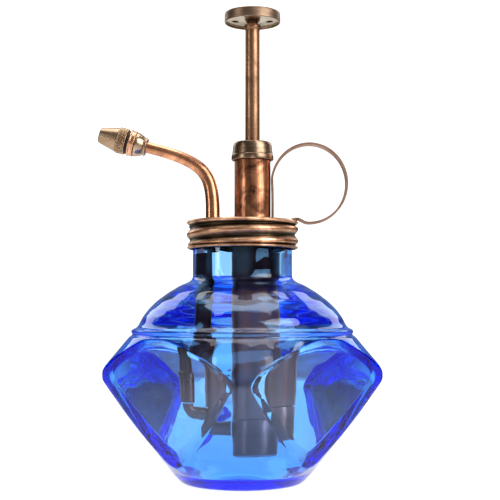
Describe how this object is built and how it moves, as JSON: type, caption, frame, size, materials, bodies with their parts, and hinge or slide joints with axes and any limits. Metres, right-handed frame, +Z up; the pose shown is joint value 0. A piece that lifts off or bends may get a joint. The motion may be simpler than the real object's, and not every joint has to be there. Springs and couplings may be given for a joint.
{
  "type": "hand mister",
  "caption": "Faceted glass bottle with a screw-on piston pump, a bent spout with an adjustable nozzle, a thumb knob and a finger ring.",
  "frame": {"origin": "centre of the bottle's flat underside", "axes": "+Z up along the bottle's axis, the spout points to -X and the finger ring to +X"},
  "size_m": [0.1037, 0.1014, 0.1712],
  "materials": {
    "glass": "clear cobalt blue, polished",
    "copper": "antique copper plate, brushed",
    "bronze": "dark antique bronze plate, brushed",
    "brass": "plain turned brass",
    "steel": "bright stainless steel",
    "rubber": "black nitrile rubber",
    "leather": "oiled leather cup"
  },
  "bodies": {
    "bottle": {"bottle": "glass"},
    "gasket": {"cap_gasket": "rubber"},
    "head": {"screw_cap": "copper", "barrel_lock_nut": "brass", "pump_barrel": "copper", "barrel_collar": "bronze", "gland_seal": "rubber", "rod_bush": "brass", "return_spring": "steel", "foot_valve_body": "copper", "ball_retainer": "brass", "transfer_elbow": "copper", "outlet_valve_body": "brass", "riser_tube": "copper", "riser_coupling": "brass", "spout_tube": "copper", "nozzle_body": "bronze", "nozzle_flange": "copper", "nozzle_o_ring": "rubber", "swirl_core": "brass", "finger_ring": "copper"},
    "plunger": {"pump_rod": "bronze", "knob": "bronze", "piston_backing": "brass", "piston_cup": "leather", "piston_washer": "brass", "piston_nut": "brass"},
    "intake_ball": {"intake_ball": "steel"},
    "outlet_ball": {"outlet_ball": "steel"},
    "nozzle_cap": {"nozzle_cap": "bronze"}
  },
  "joints": [
    {"name": "head_lift", "type": "slide", "parent": "bottle", "child": "gasket", "axis": [0, 0, 1], "range_m": [0, 0.1]},
    {"name": "head_turn", "type": "hinge", "parent": "gasket", "child": "head", "pos_m": [0, 0, 0.0942], "axis": [0, 0, 1], "range_deg": [0, 540]},
    {"name": "plunger_press", "type": "slide", "parent": "head", "child": "plunger", "axis": [0, 0, -1], "range_m": [0, 0.036], "stiffness_N_per_m": 60, "springref_m": -0.02, "deforming": ["return_spring"]},
    {"name": "nozzle_turn", "type": "hinge", "parent": "head", "child": "nozzle_cap", "pos_m": [-0.0352, 0, 0.1213], "axis": [-0.9668, 0, 0.2554], "range_deg": [0, 720]},
    {"name": "intake_ball_lift", "type": "slide", "parent": "head", "child": "intake_ball", "axis": [0, 0, 1], "range_m": [0, 0.0012]},
    {"name": "outlet_ball_lift", "type": "slide", "parent": "head", "child": "outlet_ball", "axis": [0, 0, 1], "range_m": [0, 0.0012]}
  ]
}
